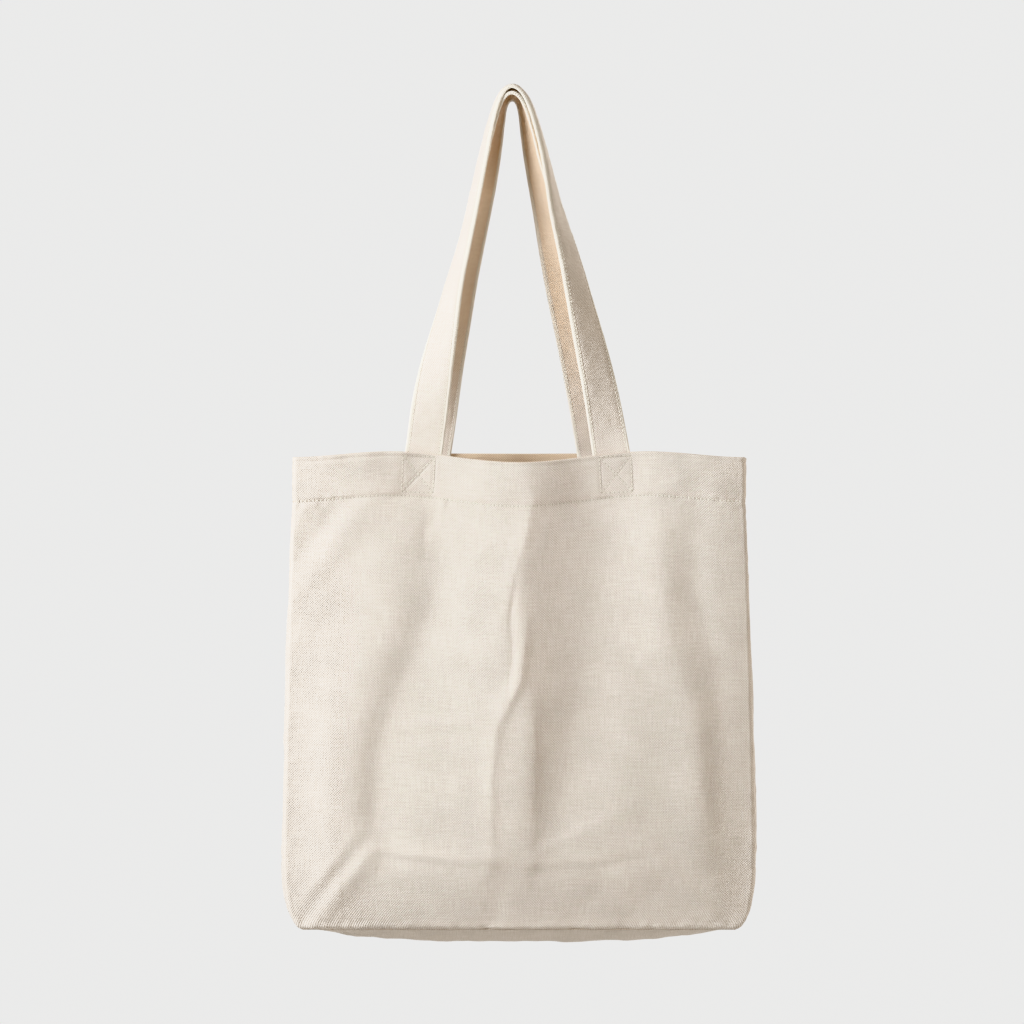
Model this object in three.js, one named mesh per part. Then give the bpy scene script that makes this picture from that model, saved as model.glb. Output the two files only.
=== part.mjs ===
// A canvas tote bag hanging from its two handles.
// Millimetres, +Z up, the front faces -Y. The origin is the point the handles hang from:
// the underside of the lower handle at the top of its loop.
import * as THREE from 'three';

// ---------- driving dimensions ----------
const BAG_X = 5.8; // the bag hangs this far to the right of the point it hangs from
const CORNER_X = 186.3; // from the bag's middle to a vertical seam at the mouth
const BASE_CORNER_X = 178.3; // the same at the base
const SEAM_SPREAD = 9; // the vertical seams stand out this much further above the base's corners
const CORNER_Z = -306; // the mouth's corners
const BASE_Z = -694; // the seam round the base
const STRAP_Z = -301; // the mouth's edge where the handles lift it
const FRONT_DIP = 9.2; // the front edge dips this far between its handles
const BACK_DIP = 0; // the back edge is straight there
const DIP_HALF_WIDTH = 105;
const STRAP_Y = 34; // from the middle plane to the mouth's edge, where the handles draw it in
const CORNER_Y = 53; // the same at the mouth's corners
const BASE_Y = 58; // the same along the base seam
const DRAWN_IN_HALF_WIDTH = 110; // the length that is drawn in, each side of the middle
const WAIST = 4; // the vertical seams come this much nearer half way down
const LEAN_POWER = 1.5; // how soon below the hem the walls spread
const GUSSET_BULGE_TOP = 2.5;
const GUSSET_BULGE_GAIN = 3;
const BASE_SAG = 18;
const BASE_FLAT = 17; // the base is flat where it would sag lower than this

const CANVAS = 1.0; // thickness of one ply
const PLY_STEP = 1.5; // from the outer ply of the hem to the turned-in ply
const HEM_DEPTH = 38;
const HEM_ROW = 36.5; // from the mouth's edge down to the row of stitches
const GAP = 0.3; // clearance between pieces that touch
const SEAM_GAP = 2.4; // from a wall's ply to the gusset's cut edge, where the seam is

const STRAP_WIDTH = 31;
const STRAP_THICKNESS = 3;
const STRAP_BASE_Z = -300.5;
const STRAP_LEG_BOW = 1.8; // the legs of a loop bow out this much
const TWIST_POWER = 1.25; // how soon above the mouth a leg turns edge-on
const SEWN_TOP_Z = -301.3;
const SEWN_LENGTH = 36;

const THREAD = 0.7;
const BOX_WIDTH = 26;
const BOX_HEIGHT = 30;
const BOX_TOP_Z = -305;
const EDGE_ROW = 3; // from a strap's edge to its row of stitches

const TAPE_WIDTH = 7;
const TAPE_THICKNESS = 1.8;
const TAPE_OFFSET = 2.0; // from the wall's ply to the middle of the tape
const TAPE_TOP_Z = -346;
const TAPE_BOTTOM_Z = -683;
const BASE_TAPE_X = 174;
const BASE_TAPE_Y = 54.5;
const BASE_TAPE_LOW_Z = -692;

// the two handles: where each leg leaves the mouth, and how much wider than straight legs
// the top of the loop stands, which it reaches within about a height of `within`
const HANDLES = {
  front: {
    side: -1, legX: [-73.1, 82.3], sewnX: [-75.7, 84.8], boxX: [-77.7, 86.3], topZ: 7, wider: 16, within: 18,
  },
  back: {
    side: 1, legX: [-67.8, 71.2], sewnX: [-70, 73.5], boxX: [-71, 74.5], topZ: 1.5, wider: 8, within: 6,
  },
};

// ---------- counts ----------
const WALL_COLUMNS = 20;
const WALL_ROWS = 8;
const GUSSET_COLUMNS = 8;
const BASE_COLUMNS = 18;
const BASE_ROWS = 10;
const FOLD_STEPS = 4;
const LEG_STEPS = 16;

// ---------- materials ----------
const canvas = new THREE.MeshStandardMaterial({ color: 0xe8e1d2, roughness: 0.95, metalness: 0 });
const strapCanvas = new THREE.MeshStandardMaterial({ color: 0xe4dbca, roughness: 0.93, metalness: 0 });
const thread = new THREE.MeshStandardMaterial({ color: 0xece4d4, roughness: 0.8, metalness: 0 });
const tape = new THREE.MeshStandardMaterial({ color: 0xded4c0, roughness: 0.9, metalness: 0 });

// ---------- helpers ----------
const clamp01 = (t) => Math.min(1, Math.max(0, t));
const smoothstep = (t) => clamp01(t) ** 2 * (3 - 2 * clamp01(t));
const steps = (n) => Array.from({ length: n + 1 }, (_, i) => i / n);
const bag = new THREE.Group();

function addMesh(name, geometry, material) {
  const mesh = new THREE.Mesh(geometry, material);
  mesh.name = name;
  bag.add(mesh);
  return mesh;
}

// The closed solid of a sheet of the given thickness about rows of points. Seen from
// outside, rows run upwards and the points in a row run left to right.
function sheetGeometry(rows, thickness) {
  const rowCount = rows.length;
  const ringHalf = rows[0].length;
  const last = (list, i) => list[Math.min(list.length - 1, Math.max(0, i))];
  const positions = [];
  rows.forEach((row, i) => {
    const normals = row.map((_, j) => {
      const up = last(rows, i + 1)[j].clone().sub(last(rows, i - 1)[j]);
      const right = last(row, j + 1).clone().sub(last(row, j - 1));
      return right.cross(up).normalize();
    });
    const offset = (j, side) => row[j].clone().addScaledVector(normals[j], (side * thickness) / 2);
    for (let j = 0; j < ringHalf; j += 1) positions.push(...offset(j, 1).toArray());
    for (let j = ringHalf - 1; j >= 0; j -= 1) positions.push(...offset(j, -1).toArray());
  });
  const ring = 2 * ringHalf;
  const index = [];
  const quad = (a, b, c, d) => index.push(a, b, c, a, c, d);
  for (let i = 0; i < rowCount - 1; i += 1) {
    for (let j = 0; j < ring; j += 1) {
      const next = (j + 1) % ring;
      quad(i * ring + j, i * ring + next, (i + 1) * ring + next, (i + 1) * ring + j);
    }
  }
  const top = (rowCount - 1) * ring;
  for (let j = 0; j < ringHalf - 1; j += 1) {
    const inner = ring - 1 - j;
    quad(j, inner, inner - 1, j + 1);
    quad(top + j, top + j + 1, top + inner - 1, top + inner);
  }
  const geometry = new THREE.BufferGeometry();
  geometry.setAttribute('position', new THREE.Float32BufferAttribute(positions, 3));
  geometry.setIndex(index);
  geometry.computeVertexNormals();
  return geometry;
}

// ---------- the walls' shape ----------
// height of the mouth's edge, x from the bag's middle
function mouthZ(x, dip) {
  const inner = smoothstep(Math.abs(x) / DIP_HALF_WIDTH);
  const outer = smoothstep((Math.abs(x) - DIP_HALF_WIDTH) / (CORNER_X - DIP_HALF_WIDTH));
  return STRAP_Z - dip * (1 - inner) + (CORNER_Z - STRAP_Z) * outer;
}

// distance of a wall from the middle plane; t is 0 at and above the hem's stitches, 1 at the base
function wallY(x, t) {
  const edge = Math.abs(x) / CORNER_X;
  const drawnIn = smoothstep((Math.abs(x) - DRAWN_IN_HALF_WIDTH) / (CORNER_X - DRAWN_IN_HALF_WIDTH));
  const mouth = STRAP_Y + (CORNER_Y - STRAP_Y) * drawnIn;
  return BASE_Y - (BASE_Y - mouth) * (1 - t) ** LEAN_POWER - WAIST * edge ** 2 * Math.sin(Math.PI * t);
}

const aboveCorner = (t) => (1 - t ** 14) ** 0.6; // falls from 1 to 0 just above the base
const halfWidth = (t) => BASE_CORNER_X
  + (CORNER_X - BASE_CORNER_X + SEAM_SPREAD * t ** 0.7) * aboveCorner(t);
const columnShare = (c) => Math.sin((Math.PI / 2) * c); // columns are closer near the seams
const columns = steps(WALL_COLUMNS).map((s) => columnShare(2 * s - 1));
const wallShares = steps(WALL_ROWS).map(columnShare).reverse(); // rows are closer near the base

// A point of a wall. column is -1 to 1 across, side is -1 at the front and 1 at the back,
// inward moves it towards the inside of the bag.
function wallPoint(column, t, z, side, inward = 0) {
  const x = column * halfWidth(t);
  return new THREE.Vector3(BAG_X + x, side * (wallY(x, t) - inward), z);
}

// Rows of a cloth that rises from the base to the hem, turns over at the mouth and comes
// down inside. point(column, t, z, inward) gives a point and mouth(column) the edge's height.
function hemmedRows(columnList, mouth, point) {
  const rows = [];
  const row = (make) => rows.push(columnList.map(make));
  for (const t of wallShares) {
    row((c) => point(c, t, THREE.MathUtils.lerp(mouth(c) - HEM_DEPTH, BASE_Z, t), 0));
  }
  const foldRadius = PLY_STEP / 2;
  const foldDepth = foldRadius + CANVAS / 2;
  for (const s of steps(FOLD_STEPS)) {
    const angle = Math.PI * s;
    const inward = foldRadius * (1 - Math.cos(angle));
    row((c) => point(c, 0, mouth(c) - foldDepth + foldRadius * Math.sin(angle), inward));
  }
  row((c) => point(c, 0, mouth(c) - HEM_DEPTH + CANVAS, PLY_STEP));
  return rows;
}

// ---------- walls ----------
const outwardOrder = (side, list) => (side < 0 ? list : [...list].reverse());

function addWall(name, side, dip) {
  const mouth = (c) => mouthZ(c * CORNER_X, dip);
  const order = outwardOrder(side, columns);
  const rows = hemmedRows(order, mouth, (c, t, z, inward) => wallPoint(c, t, z, side, inward));
  addMesh(name, sheetGeometry(rows, CANVAS), canvas);
}

addWall('front_panel', -1, FRONT_DIP);
addWall('back_panel', 1, BACK_DIP);

// ---------- gussets ----------
const gussetBulge = (t) => (GUSSET_BULGE_TOP + GUSSET_BULGE_GAIN * t ** 0.7) * aboveCorner(t);

// share is -1 at the front seam and 1 at the back seam; hand is -1 on the left, 1 on the right
function gussetPoint(share, t, z, hand, inward = 0) {
  const halfDepth = wallY(CORNER_X, t) - SEAM_GAP;
  const x = halfWidth(t) + CANVAS + gussetBulge(t) * (1 - share ** 2) - inward;
  return new THREE.Vector3(BAG_X + hand * x, share * halfDepth, z);
}

const shares = steps(GUSSET_COLUMNS).map((s) => 2 * s - 1);

function addGusset(name, hand) {
  const order = hand > 0 ? shares : [...shares].reverse();
  const rows = hemmedRows(order, () => CORNER_Z, (c, t, z, inward) => gussetPoint(c, t, z, hand, inward));
  addMesh(name, sheetGeometry(rows, CANVAS), canvas);
}

addGusset('left_gusset', -1);
addGusset('right_gusset', 1);

// ---------- base ----------
function basePoint(across, along) {
  const x = across * (BASE_CORNER_X - GAP);
  const y = along * (BASE_Y - GAP);
  const sag = Math.min(BASE_FLAT, BASE_SAG * (1 - across ** 4) * (1 - along ** 2));
  return new THREE.Vector3(BAG_X + x, y, BASE_Z - CANVAS - sag);
}

// seen from below, so that the outside faces down
const baseRows = steps(BASE_ROWS).map((r) => steps(BASE_COLUMNS).map((c) => basePoint(2 * c - 1, 1 - 2 * r)));
addMesh('base_panel', sheetGeometry(baseRows, CANVAS), canvas);

// ---------- seam tapes ----------
// a tape runs down each vertical seam, between two of the wall's columns
const tapeColumns = [columnShare(0.8), columnShare(0.9)];

function addSeamTape(name, side, hand) {
  const pair = tapeColumns.map((c) => hand * c).sort((a, b) => side * (b - a));
  const hemZ = CORNER_Z - HEM_DEPTH;
  const rows = wallShares.map((share) => {
    const z = THREE.MathUtils.lerp(TAPE_TOP_Z, TAPE_BOTTOM_Z, share);
    const t = clamp01((hemZ - z) / (hemZ - BASE_Z));
    return pair.map((c) => wallPoint(c, t, z, side, TAPE_OFFSET));
  });
  addMesh(name, sheetGeometry(rows, TAPE_THICKNESS), tape);
}

addSeamTape('front_left_seam_tape', -1, -1);
addSeamTape('front_right_seam_tape', -1, 1);
addSeamTape('back_left_seam_tape', 1, -1);
addSeamTape('back_right_seam_tape', 1, 1);

function rectangle(Shape, halfX, halfY) {
  const outline = new Shape();
  outline.moveTo(-halfX, -halfY);
  outline.lineTo(halfX, -halfY);
  outline.lineTo(halfX, halfY);
  outline.lineTo(-halfX, halfY);
  outline.closePath();
  return outline;
}

const baseTapeOutline = rectangle(THREE.Shape, BASE_TAPE_X, BASE_TAPE_Y);
baseTapeOutline.holes.push(
  rectangle(THREE.Path, BASE_TAPE_X - TAPE_THICKNESS, BASE_TAPE_Y - TAPE_THICKNESS),
);
const baseTape = new THREE.ExtrudeGeometry(baseTapeOutline, { depth: TAPE_WIDTH, bevelEnabled: false });
addMesh('base_seam_tape', baseTape, tape).position.set(BAG_X, 0, BASE_TAPE_LOW_Z);

// ---------- stitches of the hem ----------
// a thread is a thin sheet, as thick as it is high, just clear of the cloth
const threadInward = -(CANVAS / 2 + GAP + THREAD / 2);

function threadRows(places) {
  return [-THREAD / 2, THREAD / 2].map((rise) => places.map((place) => place(rise)));
}

function addWallStitches(name, side, dip) {
  const order = outwardOrder(side, columns);
  const places = order.map((c) => (rise) => {
    const z = mouthZ(c * CORNER_X, dip) - HEM_ROW + rise;
    return wallPoint(c, 0, z, side, threadInward);
  });
  addMesh(name, sheetGeometry(threadRows(places), THREAD), thread);
}

function addGussetStitches(name, hand) {
  const order = hand > 0 ? shares : [...shares].reverse();
  const z = CORNER_Z - HEM_ROW;
  const places = order.map((c) => (rise) => gussetPoint(c, 0, z + rise, hand, threadInward));
  addMesh(name, sheetGeometry(threadRows(places), THREAD), thread);
}

addWallStitches('front_hem_stitches', -1, FRONT_DIP);
addWallStitches('back_hem_stitches', 1, BACK_DIP);
addGussetStitches('left_gusset_hem_stitches', -1);
addGussetStitches('right_gusset_hem_stitches', 1);

// ---------- box stitches ----------
// a rectangle of thread crossed by its diagonals: four triangles cut out of a plate
function boxStitchShape() {
  const halfW = BOX_WIDTH / 2;
  const halfH = BOX_HEIGHT / 2;
  const shape = rectangle(THREE.Shape, halfW, halfH);
  const diagonal = Math.hypot(BOX_WIDTH, BOX_HEIGHT);
  const slackX = (THREAD / 2) * (diagonal / BOX_HEIGHT); // a diagonal's half width along X
  const slackY = (THREAD / 2) * (diagonal / BOX_WIDTH);
  const inX = halfW - THREAD;
  const inY = halfH - THREAD;
  const along = (inset, half, other) => (inset * other) / half;
  const flat = along(inY, halfH, halfW) - slackX;
  const tall = along(inX, halfW, halfH) - slackY;
  for (const sign of [-1, 1]) {
    const cuts = [
      [[-flat, sign * inY], [flat, sign * inY], [0, sign * slackY]],
      [[sign * inX, -tall], [sign * inX, tall], [sign * slackX, 0]],
    ];
    for (const points of cuts) shape.holes.push(new THREE.Path(points.map((p) => new THREE.Vector2(...p))));
  }
  return shape;
}

const boxStitch = new THREE.ExtrudeGeometry(boxStitchShape(), { depth: THREAD, bevelEnabled: false });
boxStitch.translate(0, 0, -THREAD / 2);
boxStitch.rotateX(Math.PI / 2);

function addBoxStitch(name, side, x) {
  const mesh = addMesh(name, boxStitch, thread);
  const y = side * (STRAP_Y - threadInward);
  mesh.position.set(x, y, BOX_TOP_Z - BOX_HEIGHT / 2);
}

// ---------- sewn ends of the handles, inside the hem ----------
const strapInward = PLY_STEP + CANVAS / 2 + GAP + STRAP_THICKNESS / 2;

function addSewnEnd(name, side, x) {
  const geometry = new THREE.BoxGeometry(STRAP_WIDTH, STRAP_THICKNESS, SEWN_LENGTH);
  const mesh = addMesh(name, geometry, strapCanvas);
  mesh.position.set(x, side * (STRAP_Y - strapInward), SEWN_TOP_Z - SEWN_LENGTH / 2);
}

// ---------- handles ----------
// The loop's middle line: up one leg from the mouth to the top and down the other. Each
// station has its place and how far it has risen. Stations are closer towards the top.
function loopStations({ side, legX, topZ, wider, within }) {
  const height = topZ - STRAP_BASE_Z;
  const baseY = side * (STRAP_Y - strapInward);
  const [left, right] = legX.map((footX) => steps(LEG_STEPS).map((s) => {
    const below = height * (1 - s) ** 2;
    const rise = 1 - below / height;
    const x = (Math.abs(footX) - wider) * (1 - rise) + wider * Math.sqrt(1 - Math.exp(-below / within))
      + STRAP_LEG_BOW * Math.sin(Math.PI * rise);
    return { rise, at: new THREE.Vector3(Math.sign(footX) * x, baseY * (1 - rise), topZ - below) };
  }));
  return [...left, ...right.reverse().slice(1)];
}

// The direction across the strap at each station. At the mouth it lies along X, pointing
// into the loop; it turns edge-on as the leg rises, towards the front on the front handle.
function acrossStrap(stations, side) {
  const ends = [0, stations.length - 1];
  return stations.map((station, i) => {
    if (ends.includes(i)) return new THREE.Vector3(i === 0 ? 1 : -1, 0, 0);
    const heading = stations[i + 1].at.clone().sub(stations[i - 1].at).normalize();
    const twist = (Math.PI / 2) * (1 - smoothstep((1 - station.rise) ** TWIST_POWER));
    const intoLoop = new THREE.Vector3(heading.z, 0, -heading.x).normalize();
    const across = intoLoop.multiplyScalar(Math.cos(twist));
    across.y += side * Math.sin(twist);
    return across.addScaledVector(heading, -across.dot(heading)).normalize();
  });
}

// rows of points across the strap, each at a share of its width from the middle line and
// lifted towards the outside of the loop
function strapRows(stations, across, shares, lift) {
  return stations.map(({ at }, i) => {
    const before = stations[Math.max(0, i - 1)].at;
    const after = stations[Math.min(stations.length - 1, i + 1)].at;
    const outward = across[i].clone().cross(after.clone().sub(before)).normalize();
    return shares.map((share) => at.clone()
      .addScaledVector(across[i], share * STRAP_WIDTH)
      .addScaledVector(outward, lift));
  });
}

const rowShare = 0.5 - EDGE_ROW / STRAP_WIDTH;
const rowHalf = THREAD / 2 / STRAP_WIDTH;

for (const [name, handle] of Object.entries(HANDLES)) {
  const stations = loopStations(handle);
  const across = acrossStrap(stations, handle.side);
  const strap = strapRows(stations, across, [-0.5, -rowShare, rowShare, 0.5], 0);
  addMesh(`${name}_handle`, sheetGeometry(strap, STRAP_THICKNESS), strapCanvas);

  const lift = handle.side * -(STRAP_THICKNESS / 2 + GAP + THREAD / 2);
  for (const [edge, share] of [['inner', rowShare], ['outer', -rowShare]]) {
    const row = strapRows(stations, across, [share - rowHalf, share + rowHalf], lift).slice(1, -1);
    addMesh(`${name}_handle_${edge}_stitches`, sheetGeometry(row, THREAD), thread);
  }
  ['left', 'right'].forEach((hand, i) => {
    addSewnEnd(`${name}_handle_${hand}_end`, handle.side, handle.sewnX[i]);
    addBoxStitch(`${name}_${hand}_box_stitch`, handle.side, handle.boxX[i]);
  });
}

export default bag;
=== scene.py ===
"""A canvas tote bag hanging from its two handles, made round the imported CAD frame.
Metres, +Z up, the front faces -Y, the origin is the point the bag hangs from."""
import math

import bpy
import numpy as np
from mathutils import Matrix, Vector


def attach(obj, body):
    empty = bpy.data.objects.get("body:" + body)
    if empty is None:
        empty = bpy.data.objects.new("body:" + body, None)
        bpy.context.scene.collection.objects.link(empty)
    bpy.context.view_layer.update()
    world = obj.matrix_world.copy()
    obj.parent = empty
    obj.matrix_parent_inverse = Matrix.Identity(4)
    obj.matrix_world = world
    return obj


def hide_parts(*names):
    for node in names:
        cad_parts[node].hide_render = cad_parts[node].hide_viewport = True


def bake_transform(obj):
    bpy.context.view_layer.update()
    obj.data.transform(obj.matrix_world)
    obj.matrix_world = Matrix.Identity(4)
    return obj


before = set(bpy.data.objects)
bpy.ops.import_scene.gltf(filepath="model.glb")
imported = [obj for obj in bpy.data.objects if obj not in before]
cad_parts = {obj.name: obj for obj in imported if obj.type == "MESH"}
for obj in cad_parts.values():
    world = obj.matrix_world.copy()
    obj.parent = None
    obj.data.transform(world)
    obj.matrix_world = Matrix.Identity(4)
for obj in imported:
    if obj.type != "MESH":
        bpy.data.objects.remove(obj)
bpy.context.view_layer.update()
MM = 0.001

# ---------- driving dimensions, in millimetres unless a name says otherwise ----------
BAG_X = 5.8  # the bag's middle, from the point it hangs from
CORNER_X, BASE_CORNER_X = 186.3, 178.3
SEAM_SPREAD = 9.0  # the vertical seams stand out this much further above the base's corners
CORNER_Z, BASE_Z, STRAP_Z = -306.0, -694.0, -301.0
DIP_HALF_WIDTH = 105.0
DIPS = {"front": 9.2, "back": 0.0}  # how far each edge of the mouth dips between its handles
STRAP_Y, CORNER_Y, BASE_Y = 34.0, 46.5, 58.0
DRAWN_IN_HALF_WIDTH = 64.0
WAIST, LEAN_POWER = 4.0, 1.5
HEM_DEPTH, HEM_ROW = 38.0, 36.5
PLY = 0.9  # thickness of the canvas
FACE = 0.5  # from a wall's middle surface to its outer face
FOLD_RADIUS = 1.35  # of the outer face where the hem turns over
STRAP_WIDTH, STRAP_THICKNESS = 31.0, 3.0
STRAP_BASE_Z = -300.5
SEWN_BOTTOM_Z = -337.0
STRAP_INWARD = 3.8  # from a wall's middle surface to the middle of a strap
HANDLES = {
    "front": {"side": -1, "wall": "front_wall", "leg_x": (-73.1, 82.3), "sewn_x": (-75.7, 84.8),
              "box_x": (-77.7, 86.3), "box_tilt": (-0.04, 0.05), "top_z": 8.2,
              # arch: how much its top stands wider than straight legs, and within what height
              # bow: how far each leg bows outwards at its middle, and more below than above
              # turn: how far each leg has turned towards edge-on, in degrees, at shares of its rise
              "arch": (16.0, 18.0), "bow": ((1.6, 2.5), (2.4, 1.5)),
              "turn": (((0, 0), (0.09, 2), (0.25, 30), (0.41, 57), (0.57, 71), (0.78, 77), (1, 88)),
                       ((0, 0), (0.05, 7), (0.12, 15), (0.25, 27), (0.41, 45), (0.57, 60), (0.78, 80),
                        (1, 88)))},
    "back": {"side": 1, "wall": "bag", "leg_x": (-67.8, 71.2), "sewn_x": (-70.0, 73.5),
             "box_x": (-71.0, 74.5), "box_tilt": (0.03, -0.02), "top_z": 1.7,
             "arch": (8.0, 6.0), "bow": ((0.6, 0.8), (1.8, 0.8)),
             "turn": (((0, 0), (0.1, 18), (0.25, 42), (0.41, 56), (0.57, 64), (0.78, 68), (0.92, 78),
                       (1, 88)),
                      ((0, 0), (0.1, 0), (0.25, 3), (0.41, 17), (0.57, 40), (0.78, 64), (0.92, 76),
                       (1, 88)))},
}
BOX_WIDTH, BOX_HEIGHT, BOX_TOP_Z = 26.0, 30.0, -305.0
EDGE_ROW = 3.0
EDGE_CURL = 2.2
GUSSET_BULGE_TOP, GUSSET_BULGE_GAIN = 2.5, 3.0
BASE_SAG = 18.0

rng = np.random.default_rng(7)


# ---------- small helpers ----------
def smoothstep(t):
    t = np.clip(t, 0.0, 1.0)
    return t * t * (3.0 - 2.0 * t)


def lerp(a, b, t):
    return a + (b - a) * t


def bell(d, width):
    return np.exp(-((d / width) ** 2))


class Waves:
    """Smooth noise of about unit size: a sum of plane waves with wavelengths near the given ones."""

    def __init__(self, wavelength_x, wavelength_y, count=24):
        angle = rng.uniform(0, 2 * math.pi, count)
        size = rng.uniform(0.6, 1.5, count)
        self.kx = 2 * math.pi / wavelength_x * np.cos(angle) * size
        self.ky = 2 * math.pi / wavelength_y * np.sin(angle) * size
        self.phase = rng.uniform(0, 2 * math.pi, count)

    def __call__(self, x, y):
        total = np.zeros(np.broadcast(x, y).shape)
        for kx, ky, phase in zip(self.kx, self.ky, self.phase):
            total += np.cos(kx * x + ky * y + phase)
        return total * math.sqrt(2.0 / len(self.kx))


def crease(x, d, points, before=6.0, after=6.0):
    """A raised or sunk fold along a line of (across, down, height) points. It falls off over
    `before` on the left of a line that runs down and over `after` on its right."""
    best = np.full(np.shape(x), 1e9)
    value = np.zeros(np.shape(x))
    for (ax, ad, ah), (bx, bd, bh) in zip(points, points[1:]):
        lx, ld = bx - ax, bd - ad
        share = np.clip(((x - ax) * lx + (d - ad) * ld) / (lx * lx + ld * ld), 0, 1)
        px, pd = x - (ax + share * lx), d - (ad + share * ld)
        distance = np.hypot(px, pd)
        right = (lx * pd - ld * px) < 0
        height = lerp(ah, bh, share) * bell(distance, np.where(right, after, before))
        nearer = distance < best
        best = np.where(nearer, distance, best)
        value = np.where(nearer, height, value)
    return value


def to_box(x, z, centre_x, centre_z, tilt):
    """x and z measured along the sides of a tilted box stitch, from its centre."""
    cx, cz = x - centre_x, z - centre_z
    return cx * math.cos(tilt) + cz * math.sin(tilt), -cx * math.sin(tilt) + cz * math.cos(tilt)


def box_line_distance(u, v):
    """Distance from the nearest line of a box stitch, in its own coordinates."""
    w, h = BOX_WIDTH / 2, BOX_HEIGHT / 2
    out_u, out_v = np.maximum(np.abs(u) - w, 0), np.maximum(np.abs(v) - h, 0)
    sides = np.minimum(np.hypot(np.abs(u) - w, out_v), np.hypot(out_u, np.abs(v) - h))
    length = math.hypot(w, h)
    diagonals = np.minimum(np.abs(u * h - v * w), np.abs(u * h + v * w)) / length
    diagonals = np.hypot(diagonals, np.hypot(out_u, out_v))
    return np.minimum(sides, diagonals)


# ---------- the bag's shape ----------
def mouth_z(x, dip):
    inner = smoothstep(np.abs(x) / DIP_HALF_WIDTH)
    outer = smoothstep((np.abs(x) - DIP_HALF_WIDTH) / (CORNER_X - DIP_HALF_WIDTH))
    return STRAP_Z - dip * (1 - inner) + (CORNER_Z - STRAP_Z) * outer


def wall_y(x, t):
    edge = np.abs(x) / CORNER_X
    drawn_in = smoothstep((np.abs(x) - DRAWN_IN_HALF_WIDTH) / (CORNER_X - DRAWN_IN_HALF_WIDTH))
    mouth = lerp(STRAP_Y, CORNER_Y, drawn_in)
    return BASE_Y - (BASE_Y - mouth) * (1 - t) ** LEAN_POWER - WAIST * edge**2 * np.sin(math.pi * t)


def above_corner(t):
    """Falls from 1 to 0 just above the base."""
    return (1 - t**14) ** 0.6


def half_width(t):
    return BASE_CORNER_X + (CORNER_X - BASE_CORNER_X + SEAM_SPREAD * t**0.7) * above_corner(t)


def below_hem(z, mouth):
    """0 at and above the bottom of the hem, 1 at the base."""
    hem = mouth - HEM_DEPTH
    return np.clip((hem - z) / (hem - BASE_Z), 0, 1)


def seam_roll(e, radius=2.4):
    """How far a cloth has turned inwards at a distance e from its seam."""
    r = np.clip(radius - e, 0, radius)
    return 0.8 * (radius - np.sqrt(radius * radius - r * r))


# ---------- folds of the front and back ----------
broad = Waves(120, 190)
medium = Waves(34, 90)
fine = Waves(13, 15, 40)
tiny = Waves(5.5, 5.5, 40)
pucker = Waves(11, 11)
hem_wave = Waves(30, 60)

# Each fold is a line of (across, down from the mouth's corners, height), then its width on its
# left and on its right. The drape is the wide folds, which every layer of a wall shares.
FRONT_DRAPE = [
    ([(9, -6, 6.6), (7, 45, 7.4), (-2, 118, 7.8), (1, 200, 7.2), (-3, 283, 4.8), (-14, 335, 2.8),
      (-16, 370, 1.2)], 52, 26),
    ([(74, -6, -5.0), (72, 60, -5.4), (68, 120, -5.6), (58, 200, -5.2), (36, 283, -3.8),
      (24, 340, -1.2)], 29, 34),
    ([(112, -6, 0.4), (114, 60, 2.2), (118, 118, 2.8), (125, 160, 3.0), (140, 200, 3.0), (146, 280, 3.0),
      (146, 330, 1.2)], 17, 13),
    ([(146, 20, -0.6), (146, 100, -2.8), (151, 130, -2.6), (165, 165, -2.4), (171, 210, -2.0),
      (171, 340, -0.8)], 13, 11),
    ([(-104, -6, 1.2), (-102, 36, 3.0), (-102, 76, 4.6), (-106, 118, 4.8), (-120, 160, 4.8),
      (-132, 200, 4.6), (-144, 245, 4.2), (-147, 283, 4.0), (-146, 320, 2.4)], 44, 26),
    ([(-70, 30, -0.6), (-70, 118, -1.6), (-84, 160, -1.8), (-102, 200, -1.8), (-115, 245, -2.8),
      (-116, 283, -3.2), (-116, 320, -2.4)], 13, 20),
]
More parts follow.
